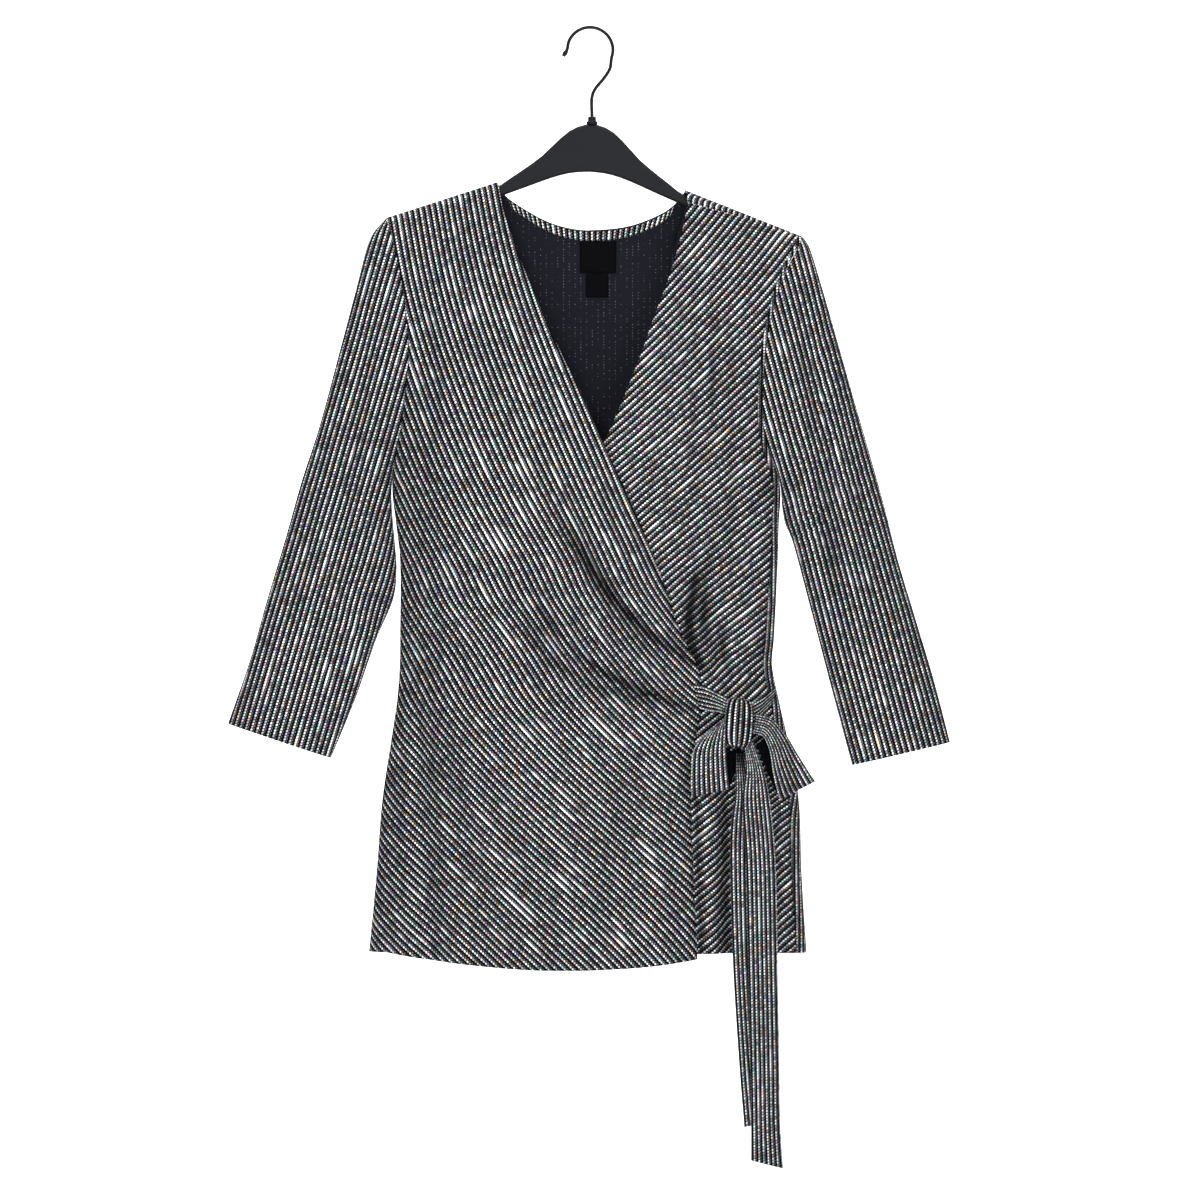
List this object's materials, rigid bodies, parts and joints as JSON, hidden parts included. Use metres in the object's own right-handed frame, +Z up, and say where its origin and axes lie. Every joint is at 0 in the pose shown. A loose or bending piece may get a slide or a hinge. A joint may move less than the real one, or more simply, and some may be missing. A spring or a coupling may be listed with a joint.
{
  "type": "wrap top on a hanger",
  "caption": "Long-sleeved wrap top in foil-dotted jersey, tied at the side in a bow with free ends, hung by its shoulders on a flat shaped hanger with a wire hook.",
  "frame": {"origin": "inside top of the hook, where the rail carries it", "axes": "+X to the viewer's right across the shoulders, +Y from the front to the back, +Z up along the hook"},
  "size_m": [0.6498, 0.0901, 1.0282],
  "materials": {
    "foil_cloth": "black jersey with rows of silver foil dots",
    "label": "black satin",
    "hanger": "matt black",
    "hook": "black"
  },
  "bodies": {
    "root": {"front_over": "foil_cloth", "front_under": "foil_cloth", "back": "foil_cloth", "back_neck_band": "foil_cloth", "neck_label": "label", "size_tab": "label", "sleeve_left": "foil_cloth", "sleeve_right": "foil_cloth", "tie_root": "foil_cloth", "tie_side_strap": "foil_cloth", "tie_loop_left": "foil_cloth", "tie_loop_right": "foil_cloth", "tie_tail_long": "foil_cloth", "tie_tail_short": "foil_cloth", "tie_knot": "foil_cloth", "hanger_body": "hanger", "hook_collar": "hanger", "hook": "hook"}
  },
  "joints": []
}
